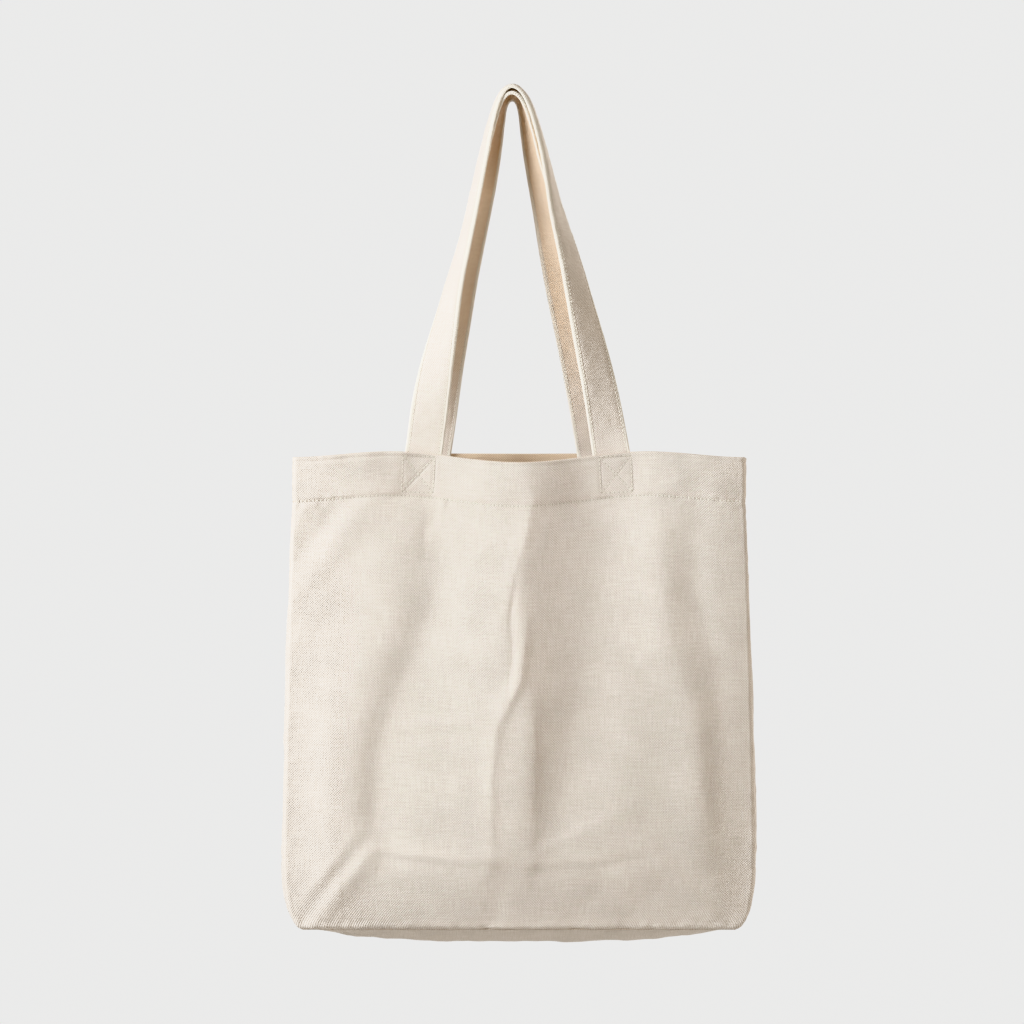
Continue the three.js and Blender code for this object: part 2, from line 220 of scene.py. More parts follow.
FRONT_FOLDS = [
    ([(4, 6, 0.6), (9, 45, 1.2), (1, 90, 1.6), (-7, 122, 0.7)], 8, 6),
    ([(12, 60, -0.3), (-1, 98, -0.9), (-7, 129, -1.1), (-5, 163, -0.9), (-9, 197, -0.3)], 2.6, 3.2),
    ([(-14, 66, 0.2), (-28, 74, 0.7), (-40, 92, 0.3)], 3.0, 4.0),
    ([(-77, 42, -0.3), (-78, 66, -0.5), (-79, 88, -0.2)], 2.6, 3.0),
    ([(6, 128, 0.5), (5, 150, 1.8), (1, 183, 2.4), (-18, 222, 1.5), (-23, 262, 1.3),
      (-23, 336, 0.9)], 8, 4.5),
    ([(11, 196, 0.6), (12, 240, 1.4), (10, 333, 1.0)], 13, 4.5),
    ([(-112, 24, 0.8), (-148, 66, 2.0), (-186, 120, 1.0)], 9, 12),
    ([(-132, 14, -0.4), (-160, 55, -1.2), (-188, 92, -0.5)], 7, 7),
    ([(-172, 36, 1.0), (-189, 66, 0.8)], 5, 6),
    ([(-158, 112, 0.9), (-189, 160, 0.7)], 8, 9),
    ([(-64, 26, 0.6), (-64, 55, 0.5)], 3, 3),
    ([(-100, 222, 0.6), (-46, 217, 1.1), (-21, 224, 0.6)], 6, 4),
    ([(-96, 231, -0.3), (-46, 227, -0.6), (-26, 232, -0.3)], 4, 5),
    ([(18, 322, 0.7), (52, 306, 1.3), (93, 284, 0.5)], 7, 5),
    ([(66, 326, -0.5), (90, 328, -1.4), (108, 324, -0.6)], 6, 5),
    ([(-119, 323, 1.0), (-70, 328, 1.2), (-18, 332, 0.9)], 3.2, 7.5),
    ([(9, 334, 0.9), (58, 331, 1.2), (107, 324, 0.8)], 3.2, 7.5),
    ([(-119, 329, -0.5), (-70, 334, -0.5), (-18, 338, -0.4)], 4.5, 4.5),
    ([(9, 340, -0.4), (58, 337, -0.5), (107, 330, -0.4)], 4.5, 4.5),
    ([(-119, 322, 1.2), (-144, 352, 2.2), (-168, 384, 1.3)], 6.0, 9.0),
    ([(-129, 318, -0.5), (-155, 349, -1.0), (-176, 378, -0.6)], 5, 5),
    ([(-134, 308, 0.4), (-158, 338, 0.9), (-176, 362, 0.4)], 4, 5),
    ([(110, 326, 0.7), (142, 358, 1.0), (168, 384, 0.6)], 6.0, 3.5),
    ([(116, 322, -0.4), (150, 352, -0.7), (172, 376, -0.4)], 4, 5),
    ([(-7, 340, -0.6), (-24, 382, -0.9)], 9, 9),
    ([(74, 340, -0.6), (43, 382, -0.9)], 9, 9),
    ([(121, 344, -0.5), (88, 382, -0.8)], 9, 9),
]
BACK_DRAPE = [
    ([(-10, -6, 3.4), (-4, 100, 4.6), (6, 210, 4.4), (8, 320, 1.6)], 36, 30),
    ([(62, -6, -2.8), (52, 120, -4.0), (34, 240, -2.6)], 26, 22),
    ([(-70, 0, -2.4), (-58, 130, -3.6), (-46, 250, -2.0)], 20, 26),
    ([(106, 4, 1.6), (116, 100, 3.2), (134, 220, 2.4)], 18, 16),
    ([(-108, 4, 1.6), (-120, 110, 3.0), (-144, 230, 2.2)], 15, 18),
    ([(146, 60, -1.0), (164, 150, -2.0), (170, 300, -1.0)], 11, 9),
]
BACK_FOLDS = [
    ([(-6, 20, 0.5), (-2, 90, 1.0), (8, 190, 1.2), (10, 310, 0.6)], 7, 5),
    ([(-130, 150, -0.6), (-160, 260, -1.2)], 8, 8),
    ([(30, 212, 0.6), (84, 205, 0.9)], 4, 6),
    ([(-150, 60, 0.6), (-184, 98, 0.5)], 4, 4),
    ([(150, 50, 0.7), (186, 92, 0.5)], 4, 4),
    ([(-112, 325, 1.0), (-20, 331, 1.0)], 3, 6),
    ([(14, 332, 0.9), (110, 325, 1.1)], 3, 6),
    ([(-120, 326, 1.1), (-146, 355, 1.2), (-168, 382, 0.8)], 3, 6),
    ([(118, 326, 1.0), (146, 356, 1.2), (168, 382, 0.8)], 6, 3),
    ([(-40, 344, -0.6), (-62, 382, -0.8)], 9, 9),
    ([(52, 344, -0.6), (30, 382, -0.8)], 9, 9),
]
STRAP_RISE, HEM_STEP, HEM_GROOVE = 0.5, 0.6, 0.7
BASE_ROLL, BASE_ROLL_HEIGHT = 4.0, 55.0
BELLY = 6.5  # how far the middle of a wall stands out over its side seams
# a handle holds this share of the folds back at the mouth, over this width and depth of wall
STRAP_HOLD, STRAP_HOLD_WIDTH, STRAP_HOLD_DEPTH = 0.78, 36.0, 64.0


def drape(x, z, side):
    """The wide folds of a wall: how far its cloth hangs out from its plain shape."""
    seen = x if side < 0 else -x  # the folds are placed as seen from outside
    down = CORNER_Z - z
    out = np.zeros(np.broadcast(x, z).shape)
    for points, before, after in FRONT_DRAPE if side < 0 else BACK_DRAPE:
        out += crease(seen, down, points, before, after)
    edge = CORNER_X - np.abs(x)
    rise = np.clip((z - BASE_Z) / BASE_ROLL_HEIGHT, 0, None)
    roll = BASE_ROLL * rise * np.exp(1 - rise)
    belly = BELLY * np.cos(math.pi / 2 * np.clip(x / CORNER_X, -1, 1)) * smoothstep((z - BASE_Z) / 60)
    straps = HANDLES["front" if side < 0 else "back"]["sewn_x"]
    held = sum(bell(x - (strap_x - BAG_X), STRAP_HOLD_WIDTH) for strap_x in straps)
    held = STRAP_HOLD * held * smoothstep((STRAP_HOLD_DEPTH - down) / STRAP_HOLD_DEPTH)
    return (1 - held) * (belly + smoothstep(edge / 34) * (out * smoothstep((z - BASE_Z) / 70) + roll))


def strap_print(x, z, handle):
    """The hem stands out over the strap ends sewn behind it and is drawn in along the stitches."""
    total = np.zeros(np.broadcast(x, z).shape)
    for strap_x, box_x, tilt in zip(handle["sewn_x"], handle["box_x"], handle["box_tilt"]):
        across = np.abs(x - (strap_x - BAG_X))
        total += STRAP_RISE * smoothstep((STRAP_WIDTH / 2 + 2.4 - across) / 4.0)
        u, v = to_box(x, z, box_x - BAG_X, BOX_TOP_Z - BOX_HEIGHT / 2, tilt)
        total -= 0.8 * bell(box_line_distance(u, v), 1.5)
    return total


def relief(x, z, mouth, side):
    """How far the cloth of a wall stands out from its plain shape."""
    name = "front" if side < 0 else "back"
    seen = x if side < 0 else -x
    down = CORNER_Z - z
    shift = 0 if side < 0 else 400
    out = np.zeros(np.broadcast(x, z).shape)
    for points, before, after in FRONT_FOLDS if side < 0 else BACK_FOLDS:
        out += crease(seen, down, points, before, after)
    edge = half_width(below_hem(z, mouth)) - np.abs(x)
    out += 0.06 * medium(x + shift, z) * smoothstep(edge / 20) * smoothstep((z - BASE_Z) / 25)
    out += smoothstep(edge / 6) * (0.03 * fine(x + shift, z) + 0.015 * tiny(x + shift, z))
    below_row = (mouth - HEM_ROW) - z
    in_hem = smoothstep(-below_row / 2.0)
    out = out * lerp(1.0, 0.6, in_hem) + HEM_STEP * in_hem
    out += in_hem * (0.22 * hem_wave(x + shift, z) + strap_print(x, z, HANDLES[name]))
    along_row = 0.8 + 0.2 * np.sin(2 * math.pi * x / 3.3)
    out -= HEM_GROOVE * along_row * bell(below_row, 1.1)
    out += 0.2 * pucker(x, z) * bell(below_row - 1.5, 6)
    out -= 0.8 * bell(mouth - 4.0 - z, 1.1)
    out += bell(edge, 9) * 0.16 * pucker(x, z + shift)
    out += bell(z - BASE_Z, 10) * 0.3 * pucker(x + shift, z)
    out += 0.5 * bell(z - BASE_Z - 3.2, 2.0) * smoothstep(edge / 8)
    return drape(x, z, side) + out


def wall_point(x, z, side, mouth, inward=0.0):
    """A point on the outer face of a wall, or further in."""
    t = below_hem(z, mouth)
    out = wall_y(x, t) + FACE + relief(x, z, mouth, side)
    out = out - seam_roll(half_width(t) - np.abs(x), 2.0) - seam_roll(z - BASE_Z, 3.0) - inward
    return np.stack(np.broadcast_arrays(BAG_X + x, side * out, z), -1)


def hemmed_grid(mouth, point, body_step=1.75, hem_step=1.0):
    """Points of a cloth that rises from the base, turns over at the mouth and comes down inside.
    point(z, inward) gives one row. Also how far along the cloth each row is, and how much each
    row faces the inside of the bag."""
    top = mouth - FOLD_RADIUS
    hem = mouth - HEM_DEPTH - 6
    grid, along, inside = [], [], []

    def row(z, inward, length, hidden):
        grid.append(point(z, inward))
        along.append(length)
        inside.append(hidden)

    body = 2 * round((CORNER_Z - HEM_DEPTH - BASE_Z) / body_step / 2)
    hem_rows = 2 * round((HEM_DEPTH + 4) / hem_step / 2)
    for s in np.linspace(0, 1, body + 1):
        row(lerp(BASE_Z, hem, s), 0.0, lerp(BASE_Z, CORNER_Z - HEM_DEPTH - 6, s), 0.0)
    for s in np.linspace(0, 1, hem_rows + 1)[1:]:
        row(lerp(hem, top, s), 0.0, lerp(CORNER_Z - HEM_DEPTH - 6, CORNER_Z, s), 0.0)
    for angle in np.linspace(0, math.pi, 9)[1:]:
        turned = 1 - math.cos(angle)
        row(top + FOLD_RADIUS * math.sin(angle), FOLD_RADIUS * turned, along[-1] + 0.5, turned / 2)
    for s in np.linspace(0, 1, 19)[1:]:
        row(top - s * (HEM_DEPTH - 2), 2 * FOLD_RADIUS, along[-1] + 2.0, 1.0)
    return np.array(grid), np.array(along), np.array(inside)


# ---------- meshes ----------
def grid_normals(grid):
    up = np.gradient(grid, axis=0)
    right = np.gradient(grid, axis=1)
    normal = np.cross(right, up)
    return normal / np.maximum(np.linalg.norm(normal, axis=-1, keepdims=True), 1e-9)


def new_piece(name, points, face_sets, weave, tint, material):
    """A mesh object from points in millimetres, sets of faces, the place of each point in its flat
    cloth, and a tint: 1 for painted warm shade on the inside of the cloth, 2 for deeper painted
    shade where the two handles nest, below 0 for a painted highlight along a strap's edges."""
    mesh = bpy.data.meshes.new(name)
    mesh.vertices.add(len(points))
    mesh.vertices.foreach_set("co", (np.asarray(points) * MM).astype(np.float32).ravel())
    corners = np.concatenate([np.asarray(faces, np.int32).ravel() for faces in face_sets])
    sizes = np.concatenate([np.full(len(faces), np.shape(faces)[1], np.int32) for faces in face_sets])
    mesh.loops.add(len(corners))
    mesh.loops.foreach_set("vertex_index", corners)
    mesh.polygons.add(len(sizes))
    starts = np.concatenate([[0], np.cumsum(sizes)[:-1]]).astype(np.int32)
    mesh.polygons.foreach_set("loop_start", starts)
    mesh.polygons.foreach_set("use_smooth", np.ones(len(sizes), bool))
    mesh.update(calc_edges=True)
    mesh.validate()
    layer = mesh.attributes.new("weave", "FLOAT_VECTOR", "POINT")
    layer.data.foreach_set("vector", (np.asarray(weave) * MM).astype(np.float32).ravel())
    layer = mesh.attributes.new("tint", "FLOAT", "POINT")
    tint = np.broadcast_to(np.asarray(tint, np.float32), (len(points),))
    layer.data.foreach_set("value", np.ascontiguousarray(tint))
    mesh.materials.append(material)
    piece = bpy.data.objects.new(name, mesh)
    bpy.context.scene.collection.objects.link(piece)
    return piece


def grid_faces(rows, columns, first=0):
    i, j = np.meshgrid(np.arange(rows - 1), np.arange(columns - 1), indexing="ij")
    a = first + i * columns + j
    return np.stack([a, a + 1, a + columns + 1, a + columns], -1).reshape(-1, 4)


def cloth(name, grid, across, along, inside, material):
    """A closed sheet whose outer face is the grid and whose inner face has every second row and
    column. Rows run up and columns run left to right, seen from outside; both counts are odd."""
    rows, columns = grid.shape[:2]
    inner = (grid - PLY * grid_normals(grid))[::2, ::2]
    inner_rows, inner_columns = inner.shape[:2]
    count = rows * columns
    index = np.arange(count).reshape(rows, columns)
    under = count + np.arange(inner_rows * inner_columns).reshape(inner_rows, inner_columns)

    def around(grid_index):
        return np.concatenate([grid_index[0, :-1], grid_index[:-1, -1], grid_index[-1, :0:-1],
                               grid_index[:0:-1, 0]])

    rim, low = around(index), around(under)
    rim_faces = np.stack([rim[::2], low, np.roll(low, -1), np.roll(rim, -2)[::2], rim[1::2]], -1)
    flat = np.zeros((rows, columns, 3))
    flat[..., 0], flat[..., 1] = np.broadcast_to(across, (rows, columns)), along[:, None]
    weave = np.concatenate([flat.reshape(-1, 3), flat[::2, ::2].reshape(-1, 3)])
    # Painted warm shade: full on the inner face, and on the hem rows as they turn inside.
    tint = np.concatenate([np.repeat(inside, columns), np.ones(inner_rows * inner_columns)])
    points = np.concatenate([grid.reshape(-1, 3), inner.reshape(-1, 3)])
    faces = [grid_faces(rows, columns), grid_faces(inner_rows, inner_columns, count)[:, ::-1], rim_faces]
    return new_piece(name, points, faces, weave, tint, material)


def swept(name, rings, weave, tint, material, closed=False):
    """A closed solid through rings of points, capped at both ends unless the path is closed."""
    count, size = rings.shape[:2]
    i, j = np.meshgrid(np.arange(count if closed else count - 1), np.arange(size), indexing="ij")
    k, n = (j + 1) % size, (i + 1) % count
    faces = [np.stack([i * size + j, i * size + k, n * size + k, n * size + j], -1).reshape(-1, 4)]
    if not closed:
        last = (count - 1) * size
        low = [[j, size - 1 - j, size - 2 - j, j + 1] for j in range(size // 2 - 1)]
        faces.append([[a, b, c, d] for a, b, c, d in low])
        faces.append([[last + d, last + c, last + b, last + a] for a, b, c, d in low])
    tint = np.broadcast_to(tint, (count, size)).ravel()
    return new_piece(name, rings.reshape(-1, 3), faces, weave.reshape(-1, 3), tint, material)


STITCH_SIDES = 6
STITCH_ALONG = np.array([0.0, 0.08, 0.3, 0.7, 0.92, 1.0])
STITCH_GIRTH = np.array([0.35, 0.8, 1.0, 1.0, 0.8, 0.35])
STITCH_LIFT = np.array([-0.9, -0.1, 0.35, 0.35, -0.1, -0.9])
HOLE_GIRTH = np.array([0.12, 0.3, 0.4, 0.34, 0.24, 0.1])
HOLE_LIFT = np.array([-0.3, -0.2, 0.0, 0.05, 0.08, 0.09])


def stitches(name, lines, material, length=2.5, gap=0.8, girth=0.40):
    """Rows of separate stitches with a needle hole between each two, its shade painted on a dark ring.
    Each line is (points, outward normals) along the cloth."""
    turn = np.arange(STITCH_SIDES) * 2 * math.pi / STITCH_SIDES
    rings, weave, tint = [], [], []
    for points, normals in lines:
        steps = np.linalg.norm(np.diff(points, axis=0), axis=1)
        distance = np.concatenate([[0], np.cumsum(steps)])
        number = max(1, int(distance[-1] // (length + gap)))
        pitch = distance[-1] / number
        for i in range(number):
            begin = i * pitch + gap / 2
            at = begin + (pitch - gap) * STITCH_ALONG
            centre = np.stack([np.interp(at, distance, points[:, c]) for c in range(3)], -1)
            normal = np.stack([np.interp(at, distance, normals[:, c]) for c in range(3)], -1)
            normal /= np.linalg.norm(normal, axis=1, keepdims=True)
            heading = centre[-1] - centre[0]
            heading /= np.linalg.norm(heading)
            sideways = np.cross(normal, heading)
            path = centre + normal * (STITCH_LIFT * girth)[:, None]
            ring = (np.cos(turn)[None, :, None] * sideways[:, None]
                    + np.sin(turn)[None, :, None] * normal[:, None])
            rings.append(path[:, None] + ring * (girth * STITCH_GIRTH)[:, None, None])
            weave.append(np.stack(np.broadcast_arrays(at[:, None], turn[None, :], 0.0), -1))
            tint.append(0.0)
            # A dark ring sunk into the cloth at each needle hole: painted shade.
            hole = centre[0] - heading * gap / 2 + normal[0] * HOLE_LIFT[:, None]
            ring = np.cos(turn)[:, None] * heading + np.sin(turn)[:, None] * sideways[0]
            rings.append(hole[:, None] + ring[None] * HOLE_GIRTH[:, None, None])
            weave.append(weave[-1])
            tint.append(1.0)
    rings, weave = np.array(rings), np.array(weave)
    number, count, size = rings.shape[:3]
    i, j = np.meshgrid(np.arange(count - 1), np.arange(size), indexing="ij")
    k = (j + 1) % size
    n = i + 1
    one = np.stack([i * size + j, i * size + k, n * size + k, n * size + j], -1).reshape(-1, 4)
    last = (count - 1) * size
    ends = [[0, 5, 4, 1], [1, 4, 3, 2], [last, last + 1, last + 4, last + 5],
            [last + 1, last + 2, last + 3, last + 4]]
    one = np.concatenate([one, np.array(ends)])
    faces = (one[None] + (np.arange(number) * count * size)[:, None, None]).reshape(-1, 4)
    tint = np.repeat(tint, count * size)
    return new_piece(name, rings.reshape(-1, 3), [faces], weave.reshape(-1, 3), tint, material)


# ---------- materials ----------
# The inside colour multiplies painted warm shade into the cloth's inner faces.
LIGHT_COTTON, DARK_COTTON, INSIDE_WARM_SHADE = (0.93, 0.875, 0.82), (0.60, 0.515, 0.435), (0.95, 0.82, 0.67)
LIGHT_TAPE, DARK_TAPE = (0.83, 0.76, 0.64), (0.64, 0.55, 0.43)
# The third colour is painted shade in the needle holes.
LIGHT_THREAD, DARK_THREAD, NEEDLE_HOLE_SHADE = (0.90, 0.865, 0.80), (0.72, 0.665, 0.575), (0.44, 0.37, 0.28)
# The second of these colours is painted shade where the two handles nest; the third is a painted
# highlight along the strap edges.
SEED_SPECK, NEST_SHADE, EDGE_HIGHLIGHT = (0.45, 0.33, 0.21), (0.66, 0.57, 0.48), (0.92, 0.88, 0.80)


class Nodes:
    """Short ways to add and join shader nodes."""

    def __init__(self, name):
        self.material = bpy.data.materials.new(name)
        self.material.use_nodes = True
        self.tree = self.material.node_tree
        self.tree.nodes.clear()

    def add(self, kind, inputs=(), **settings):
        node = self.tree.nodes.new(kind)
        for key, value in settings.items():
            setattr(node, key, value)
        for key, value in dict(inputs).items():
            if isinstance(value, bpy.types.NodeSocket):
                self.tree.links.new(value, node.inputs[key])
            else:
                node.inputs[key].default_value = value
        return node

    def math(self, operation, a, b=0.0, c=0.0):
        return self.add("ShaderNodeMath", {0: a, 1: b, 2: c}, operation=operation).outputs[0]

    def noise(self, place, scale, detail=2.0, rough=0.5):
        made = self.add("ShaderNodeTexNoise", {"Vector": place, "Scale": scale, "Detail": detail,
                                               "Roughness": rough})
        return made.outputs["Fac"]

    def stretch(self, place, x, y):
        return self.add("ShaderNodeMapping", {"Vector": place, "Scale": (x, y, 1.0)}).outputs[0]

    def spread(self, value, source, target):
        """The value carried from the source range to the target range."""
        ends = {1: source[0], 2: source[1], 3: target[0], 4: target[1]}
        return self.add("ShaderNodeMapRange", {0: value, **ends}).outputs[0]

    def mix(self, share, a, b, blend="MIX"):
        made = self.add("ShaderNodeMix", {0: share, 6: a, 7: b}, data_type="RGBA", blend_type=blend)
        return made.outputs[2]


def canvas_material(name, light, dark, inside, yarn=2.0, depth=0.00042):
    """Undyed cotton canvas: crossing yarns, slubs, soft changes of tone, lint, painted warm shade on
    the inside, deeper painted shade where the handles nest and a painted highlight along strap edges."""
    n = Nodes(name)
    place = n.add("ShaderNodeAttribute", attribute_name="weave").outputs["Vector"]
    tint = n.add("ShaderNodeAttribute", attribute_name="tint").outputs["Fac"]
    wander = n.noise(place, 70.0, 2.0)
    split = n.add("ShaderNodeSeparateXYZ", {0: place})
    u = n.math("MULTIPLY_ADD", wander, 0.0018, split.outputs[0])
    v = n.math("MULTIPLY_ADD", wander, 0.0015, split.outputs[1])
    turn = 2 * math.pi / (yarn * MM)
    warp = n.math("SINE", n.math("MULTIPLY", u, turn))
    weft = n.math("SINE", n.math("MULTIPLY", v, turn))
    checks = n.math("MULTIPLY", warp, weft)
    line = n.math("SINE", n.math("MULTIPLY", n.math("ADD", u, v), turn))
    weave = n.math("MULTIPLY_ADD", line, 0.3, checks)
    patches = n.spread(n.noise(place, 34.0, 3.0), (0.38, 0.66), (0.72, 1.12))
    weave = n.math("MULTIPLY", weave, patches)
    slub_warp = n.noise(n.stretch(place, 900.0, 60.0), 1.0, 2.0)
    slub_weft = n.noise(n.stretch(place, 60.0, 900.0), 1.0, 2.0)
    slubs = n.math("SUBTRACT", n.math("ADD", slub_warp, slub_weft), 1.0)
    fibre = n.noise(place, 2600.0, 3.0, 0.7)
    cloud = n.noise(place, 13.0, 3.0, 0.55)
    tone = n.math("MULTIPLY_ADD", weave, 0.85, 0.62)
    tone = n.math("MULTIPLY_ADD", slubs, 0.75, tone)
    tone = n.math("MULTIPLY_ADD", n.math("SUBTRACT", fibre, 0.5), 0.5, tone)
    tone = n.math("MULTIPLY_ADD", n.math("SUBTRACT", cloud, 0.5), 0.08, tone)
    tone = n.add("ShaderNodeClamp", {0: tone}).outputs[0]
    colour = n.mix(tone, (*dark, 1), (*light, 1))
    specks = n.add("ShaderNodeTexVoronoi", {"Vector": place, "Scale": 42.0}, feature="F1")
    seed = n.spread(specks.outputs["Distance"], (0.012, 0.026), (0.3, 0.0))
    colour = n.mix(seed, colour, (*SEED_SPECK, 1))
    # Tint from 0 to 1 multiplies in painted warm shade.
    warm_shade = n.add("ShaderNodeClamp", {0: tint}).outputs[0]
    colour = n.mix(warm_shade, colour, n.mix(1.0, colour, (*inside, 1), "MULTIPLY"))
    # Tint from 1 to 2 multiplies in deeper painted shade where the handles nest.
    nest_shade = n.add("ShaderNodeClamp", {0: n.math("SUBTRACT", tint, 1.0)}).outputs[0]
    colour = n.mix(nest_shade, colour, n.mix(1.0, colour, (*NEST_SHADE, 1), "MULTIPLY"))
    # Negative tint mixes towards a painted highlight along the strap edges.
    edge_highlight = n.math("MAXIMUM", n.math("MULTIPLY", tint, -1.0), 0.0)
    colour = n.mix(edge_highlight, colour, (*EDGE_HIGHLIGHT, 1))
    height = n.math("MULTIPLY_ADD", slubs, 1.2, weave)
    height = n.math("MULTIPLY_ADD", fibre, 0.5, height)
    bump = n.add("ShaderNodeBump", {"Height": height, "Distance": depth, "Strength": 0.8})
    rough = n.math("MULTIPLY_ADD", fibre, 0.10, 0.86)
    skin = n.add("ShaderNodeBsdfPrincipled", {"Base Color": colour, "Roughness": rough,
                                              "Normal": bump.outputs[0], "Specular IOR Level": 0.15,
                                              "Sheen Weight": 0.10, "Sheen Roughness": 0.6})
    n.add("ShaderNodeOutputMaterial", {0: skin.outputs[0]})
    return n.material


def thread_material():
    """Twisted cotton thread, a little smoother and paler than the cloth, and painted shade in its needle
    holes.
    """
    n = Nodes("thread")
    place = n.add("ShaderNodeAttribute", attribute_name="weave").outputs["Vector"]
    hole = n.add("ShaderNodeAttribute", attribute_name="tint").outputs["Fac"]
    split = n.add("ShaderNodeSeparateXYZ", {0: place})
    along = n.math("MULTIPLY", split.outputs[0], 2 * math.pi / 0.0009)
    round_it = n.math("MULTIPLY_ADD", split.outputs[1], 1000.0, along)
    ply = n.math("MULTIPLY_ADD", n.math("SINE", round_it), 0.5, 0.5)
    colour = n.mix(ply, (*DARK_THREAD, 1), (*LIGHT_THREAD, 1))
    # Painted shade on the dark rings in the needle holes.
    colour = n.mix(hole, colour, (*NEEDLE_HOLE_SHADE, 1))
    bump = n.add("ShaderNodeBump", {"Height": ply, "Distance": 0.00008, "Strength": 0.6})
    rough = n.math("MULTIPLY_ADD", ply, 0.1, 0.6)
    skin = n.add("ShaderNodeBsdfPrincipled", {"Base Color": colour, "Roughness": rough,
                                              "Normal": bump.outputs[0], "Specular IOR Level": 0.3,
                                              "Sheen Weight": 0.1})
    n.add("ShaderNodeOutputMaterial", {0: skin.outputs[0]})
    return n.material


CANVAS = canvas_material("canvas", LIGHT_COTTON, DARK_COTTON, INSIDE_WARM_SHADE)
STRAP = canvas_material("handle_canvas", LIGHT_COTTON, DARK_COTTON, INSIDE_WARM_SHADE, yarn=2.0,
                        depth=0.0003)
TAPE = canvas_material("seam_tape", LIGHT_TAPE, DARK_TAPE, INSIDE_WARM_SHADE, yarn=0.9, depth=0.00012)
THREAD = thread_material()


# ---------- camera, lights and floor ----------
def add_camera():
    data = bpy.data.cameras.new("camera")
    data.lens = 85.0
    data.sensor_width = 36.0
    camera = bpy.data.objects.new("camera", data)
    camera.location = (0.0, -2.042, -0.3513)
    camera.rotation_euler = (math.pi / 2, 0, 0)
    bpy.context.scene.collection.objects.link(camera)
    bpy.context.scene.camera = camera


def add_area(name, place, aim, size, power, colour=(1, 1, 1)):
    data = bpy.data.lights.new(name, "AREA")
    data.shape = "SQUARE"
    data.size = size
    data.energy = power
    data.color = colour
    light = bpy.data.objects.new(name, data)
    light.location = place
    light.rotation_euler = (Vector(aim) - Vector(place)).to_track_quat("-Z", "Y").to_euler()
    light.visible_camera = False
    bpy.context.scene.collection.objects.link(light)


def add_studio():
    add_area("key", (-1.10, -0.63, 0.05), (0, 0, -0.44), 0.70, 30.0, (0.95, 1.0, 1.05))
    add_area("right_fill", (2.3, -0.6, -0.25), (0, 0, -0.4), 1.4, 16.0, (1.0, 0.94, 0.86))
    add_area("back_fill", (1.2, 2.3, 0.5), (0, 0, -0.4), 1.8, 60.0, (1.0, 0.98, 0.95))
    world = bpy.data.worlds.new("world")
    world.use_nodes = True
    tree = world.node_tree
    tree.nodes.clear()
    ray = tree.nodes.new("ShaderNodeLightPath")
    lit = tree.nodes.new("ShaderNodeBackground")
    seen = tree.nodes.new("ShaderNodeBackground")
    both = tree.nodes.new("ShaderNodeMixShader")
    out = tree.nodes.new("ShaderNodeOutputWorld")
    lit.inputs["Color"].default_value = (1.0, 0.885, 0.745, 1)
    lit.inputs["Strength"].default_value = 0.38
    seen.inputs["Color"].default_value = (0.90, 0.90, 0.895, 1)
    tree.links.new(ray.outputs["Is Camera Ray"], both.inputs[0])
    tree.links.new(lit.outputs[0], both.inputs[1])
    tree.links.new(seen.outputs[0], both.inputs[2])
    tree.links.new(both.outputs[0], out.inputs[0])
    bpy.context.scene.world = world
    bpy.context.scene.view_settings.view_transform = "Khronos PBR Neutral"


def add_floor():
    size, level = 5.4, -2.0
    corners = [(-size, -size), (size, -size), (size, size), (-size, size)]
    mesh = bpy.data.meshes.new("floor")
    mesh.from_pydata([(x, y, level) for x, y in corners], [], [(0, 1, 2, 3)])
    n = Nodes("floor")
    skin = n.add("ShaderNodeBsdfPrincipled", {"Base Color": (0.88, 0.88, 0.87, 1), "Roughness": 0.9})
    glow = n.add("ShaderNodeEmission", {"Color": (0.90, 0.90, 0.895, 1)})
    ray = n.add("ShaderNodeLightPath")
    share = n.math("MULTIPLY", ray.outputs["Is Camera Ray"], 0.8)
    both = n.add("ShaderNodeMixShader", {0: share, 1: skin.outputs[0], 2: glow.outputs[0]})
    n.add("ShaderNodeOutputMaterial", {0: both.outputs[0]})
    mesh.materials.append(n.material)
    floor = bpy.data.objects.new("floor", mesh)
    bpy.context.scene.collection.objects.link(floor)


add_camera()
add_studio()
add_floor()

# ---------- walls ----------
COLUMN_STEP = 1.55


def wall_piece(name, side, body, dip):
    columns = 2 * round(CORNER_X / COLUMN_STEP) + 1
    order = np.linspace(-1, 1, columns) * -side  # left to right, seen from outside
    mouth = mouth_z(order * CORNER_X, dip)

    def row(z, inward):
        x = order * half_width(below_hem(z, mouth))
        return wall_point(x, z, side, mouth, inward)

    grid, along, inside = hemmed_grid(mouth, row)
    piece = cloth(name, grid, order * CORNER_X * -side, along, inside, CANVAS)
    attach(piece, body)
    return piece


front_panel = wall_piece("front_panel_cloth", -1, "front_wall", DIPS["front"])
back_panel = wall_piece("back_panel_cloth", 1, "bag", DIPS["back"])
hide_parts("front_panel")
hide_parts("back_panel")

# ---------- gussets ----------
GUSSET_FOLDS = [
    # (share of the half depth as millimetres from the middle line, down, height)
    ([(0, -4, 1.4), (0, 120, 1.8), (0, 250, 1.8), (0, 330, 1.2), (0, 372, 0.3)], 3.2, 3.2),
    ([(-52, 382, 0.6), (-30, 358, 1.1), (0, 330, 0.5)], 5, 5),
    ([(52, 382, 0.6), (30, 358, 1.1), (0, 330, 0.5)], 5, 5),
    ([(-26, 60, -1.0), (-30, 170, -1.8), (-24, 280, -1.0)], 14, 12),
    ([(28, 90, -1.0), (24, 200, -1.6), (30, 290, -0.8)], 12, 14),
    ([(-44, 100, 0.6), (-20, 132, 0.8)], 4, 4),
    ([(16, 210, 0.6), (44, 236, 0.7)], 4, 5),
]


def gusset_bulge(t):
    return (GUSSET_BULGE_TOP + GUSSET_BULGE_GAIN * t**0.7) * above_corner(t)


